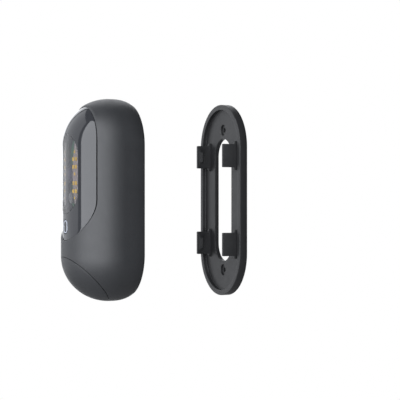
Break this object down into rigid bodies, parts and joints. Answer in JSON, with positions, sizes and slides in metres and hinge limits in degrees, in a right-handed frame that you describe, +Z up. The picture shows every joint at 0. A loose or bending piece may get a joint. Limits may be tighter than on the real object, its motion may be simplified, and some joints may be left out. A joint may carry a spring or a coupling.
{
  "type": "video doorbell",
  "caption": "Pill-shaped battery video doorbell with a glossy front panel, an oval window and a small push button, held off its clip-on wall bracket.",
  "frame": {"origin": "middle of the bracket's back, on the wall", "axes": "+Z up, +Y into the wall, the front faces -Y"},
  "size_m": [0.064, 0.1275, 0.1424],
  "materials": {
    "satin_grey_plastic": "satin moulded, dark grey",
    "bracket_plastic": "fine matte moulded, dark grey",
    "gloss_panel": "high gloss, dark grey",
    "window_tint": "tinted, polished",
    "light_guide": "frosted, bluish",
    "black_rubber": "matte",
    "black_plastic": "matte",
    "circuit_board": "solder mask",
    "flex_circuit": "greyish film",
    "bare_steel": "bright plated",
    "lens_glass": "coated, polished",
    "cell_wrap": "shrink film",
    "silicon_die": "polished"
  },
  "bodies": {
    "bracket": {"wall_bracket": "bracket_plastic"},
    "doorbell": {"housing": "satin_grey_plastic", "rear_cover": "satin_grey_plastic", "rear_gasket": "black_rubber", "cover_screw_upper_left": "bare_steel", "cover_screw_upper_right": "bare_steel", "cover_screw_lower_left": "bare_steel", "cover_screw_lower_right": "bare_steel", "front_frame": "black_plastic", "front_panel": "gloss_panel", "window_cover": "window_tint", "window_gasket": "black_rubber", "emitter_strip_left": "flex_circuit", "emitter_strip_right": "flex_circuit", "button_light_ring": "light_guide", "button_switch": "black_plastic", "camera_barrel": "black_plastic", "camera_lens": "lens_glass", "camera_board": "circuit_board", "image_sensor": "silicon_die", "sensor_board": "circuit_board", "pir_sensor": "bare_steel", "light_sensor": "lens_glass", "microphone": "bare_steel", "main_board": "circuit_board", "wifi_shield": "bare_steel", "board_screw_upper": "bare_steel", "board_screw_lower": "bare_steel", "wifi_antenna": "flex_circuit", "battery_tray": "black_plastic", "battery_cell_left": "cell_wrap", "battery_cell_right": "cell_wrap", "speaker": "black_plastic", "speaker_gasket": "black_rubber", "charging_socket": "bare_steel"},
    "cap": {"bottom_cap": "satin_grey_plastic"},
    "button": {"push_button": "satin_grey_plastic"}
  },
  "joints": [
    {"name": "mounting_slide", "type": "slide", "parent": "bracket", "child": "doorbell", "axis": [0, 1, 0], "range_m": [0, 0.073]},
    {"name": "button_press", "type": "slide", "parent": "doorbell", "child": "button", "axis": [0, 1, 0], "range_m": [0, 0.0006], "stiffness_N_per_m": 500, "springref_m": -0.0006},
    {"name": "cap_pull", "type": "slide", "parent": "doorbell", "child": "cap", "axis": [0, -0.7071, -0.7071], "range_m": [0, 0.03]}
  ]
}
